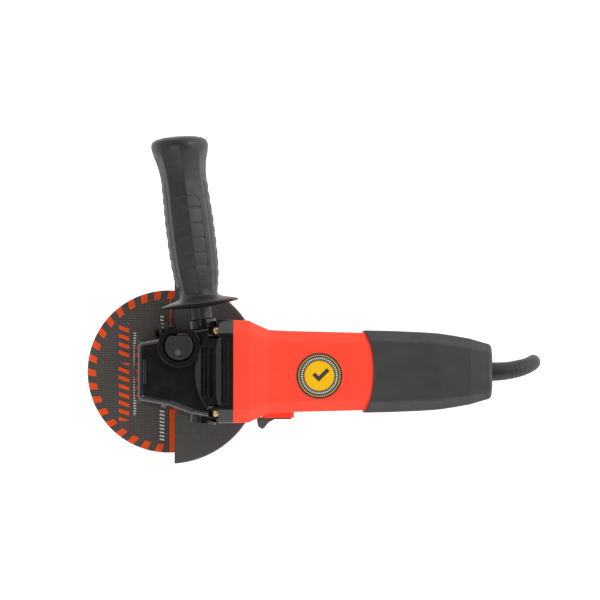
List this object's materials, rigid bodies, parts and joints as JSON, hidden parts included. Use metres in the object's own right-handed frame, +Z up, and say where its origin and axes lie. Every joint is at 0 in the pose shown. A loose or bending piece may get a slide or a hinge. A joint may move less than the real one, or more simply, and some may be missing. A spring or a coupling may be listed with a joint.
{
  "type": "angle grinder",
  "caption": "Corded angle grinder: bevel gear head with guard, cutting disc and spindle lock, side handle, motor housing with slide switch, tail cover and mains lead.",
  "frame": {"origin": "on the spindle's axis, at the face of the inner flange that the disc seats on", "axes": "+Z up along the spindle, away from the disc; +X towards the tail along the motor; +Y towards the fitted side handle; the tool lies on its guard, with the surface it lies on at z = -13.5 mm"},
  "size_m": [0.3486, 0.249, 0.0958],
  "materials": {
    "gear_housing": "gloss black",
    "gear_housing_screws": "zinc-yellow, satin",
    "bearing_cover": "satin black",
    "bearing_cover_screws": "zinc plated",
    "spindle": "ground",
    "spindle_inner_race": "ground",
    "bearing_outer_races": "ground",
    "bearing_balls": "polished",
    "needle_bush": "ground",
    "crown_gear": "greased",
    "pinion_gear": "greased",
    "pinion_nut": "blued",
    "inner_flange": "zinc plated",
    "cutting_disc": "resin-bonded abrasive with glass mesh",
    "flange_nut": "zinc plated",
    "guard": "satin dark grey",
    "guard_clamp_screw": "zinc plated",
    "guard_clamp_nut": "zinc plated",
    "lock_button": "moulded",
    "lock_pin": "ground",
    "lock_spring": "spring wire",
    "lock_plate": "satin",
    "side_handle": "moulded",
    "handle_stud": "zinc plated",
    "bearing_plate": "cast",
    "armature_shaft": "ground",
    "armature_inner_races": "ground",
    "armature_core": "laminated",
    "armature_windings": "enamelled copper wire",
    "commutator": "turned copper",
    "fan": "moulded",
    "air_baffle": "moulded",
    "rear_bearing_seat": "moulded",
    "stator_core": "laminated",
    "field_coils": "enamelled copper wire",
    "stator_screws": "zinc plated",
    "brush_holders": "pressed",
    "carbon_brushes": "graphite",
    "brush_springs": "spring wire",
    "motor_housing": "moulded, satin red",
    "badge": "printed label",
    "rear_cover": "moulded, charcoal",
    "rear_cover_screws": "blackened",
    "switch_slider": "moulded, black",
    "switch_rod": "moulded",
    "switch_body": "moulded",
    "switch_spring": "spring wire",
    "capacitor": "moulded",
    "cord_clamp": "moulded",
    "cord_clamp_screws": "zinc plated",
    "inner_cord": "moulded",
    "cable_sleeve": "moulded",
    "power_cord": "extruded",
    "cord_hank": "extruded",
    "cord_tie": "moulded",
    "plug_cord": "extruded",
    "plug_body": "moulded",
    "plug_pins": "nickel plated"
  },
  "bodies": {
    "body": {"gear_housing": "gear_housing", "gear_housing_screws": "gear_housing_screws", "bearing_cover": "bearing_cover", "bearing_cover_screws": "bearing_cover_screws", "bearing_outer_races": "bearing_outer_races", "bearing_balls": "bearing_balls", "needle_bush": "needle_bush", "lock_spring": "lock_spring", "lock_plate": "lock_plate", "bearing_plate": "bearing_plate", "air_baffle": "air_baffle", "rear_bearing_seat": "rear_bearing_seat", "stator_core": "stator_core", "field_coils": "field_coils", "stator_screws": "stator_screws", "brush_holders": "brush_holders", "carbon_brushes": "carbon_brushes", "brush_springs": "brush_springs", "motor_housing": "motor_housing", "badge": "badge", "rear_cover": "rear_cover", "rear_cover_screws": "rear_cover_screws", "switch_body": "switch_body", "switch_spring": "switch_spring", "capacitor": "capacitor", "cord_clamp": "cord_clamp", "cord_clamp_screws": "cord_clamp_screws", "inner_cord": "inner_cord", "cable_sleeve": "cable_sleeve", "power_cord": "power_cord", "cord_hank": "cord_hank", "cord_tie": "cord_tie", "plug_cord": "plug_cord", "plug_body": "plug_body", "plug_pins": "plug_pins"},
    "spindle": {"spindle": "spindle", "spindle_inner_race": "spindle_inner_race", "crown_gear": "crown_gear", "inner_flange": "inner_flange", "cutting_disc": "cutting_disc", "flange_nut": "flange_nut"},
    "armature": {"armature_shaft": "armature_shaft", "armature_inner_races": "armature_inner_races", "armature_core": "armature_core", "armature_windings": "armature_windings", "commutator": "commutator", "fan": "fan", "pinion_gear": "pinion_gear", "pinion_nut": "pinion_nut"},
    "lock_button": {"lock_button": "lock_button", "lock_pin": "lock_pin"},
    "switch": {"switch_slider": "switch_slider", "switch_rod": "switch_rod"},
    "guard": {"guard": "guard", "guard_clamp_screw": "guard_clamp_screw", "guard_clamp_nut": "guard_clamp_nut"},
    "side_handle": {"side_handle": "side_handle", "handle_stud": "handle_stud"}
  },
  "joints": [
    {"name": "spindle_spin", "type": "hinge", "parent": "body", "child": "spindle", "pos_m": [0, 0, 0], "axis": [0, 0, 1], "continuous": true},
    {"name": "armature_spin", "type": "hinge", "parent": "body", "child": "armature", "pos_m": [0, 0, 0.0485], "axis": [1, 0, 0], "continuous": true},
    {"name": "lock_press", "type": "slide", "parent": "body", "child": "lock_button", "axis": [0, 0, -1], "range_m": [0, 0.004], "stiffness_N_per_m": 500, "springref_m": -0.004, "deforming": ["lock_spring"]},
    {"name": "switch_slide", "type": "slide", "parent": "body", "child": "switch", "axis": [-1, 0, 0], "range_m": [0, 0.0065], "stiffness_N_per_m": 200, "springref_m": -0.004, "deforming": ["switch_spring"]},
    {"name": "guard_swivel", "type": "hinge", "parent": "body", "child": "guard", "pos_m": [0, 0, 0.015], "axis": [0, 0, 1], "range_deg": [-60, 90]},
    {"name": "handle_unscrew", "type": "slide", "parent": "body", "child": "side_handle", "axis": [-0.1288, 0.9917, 0], "range_m": [0, 0.014]}
  ],
  "couplings": [
    {"joint": "armature_spin", "follows": "spindle_spin", "ratio": 3.0833}
  ]
}
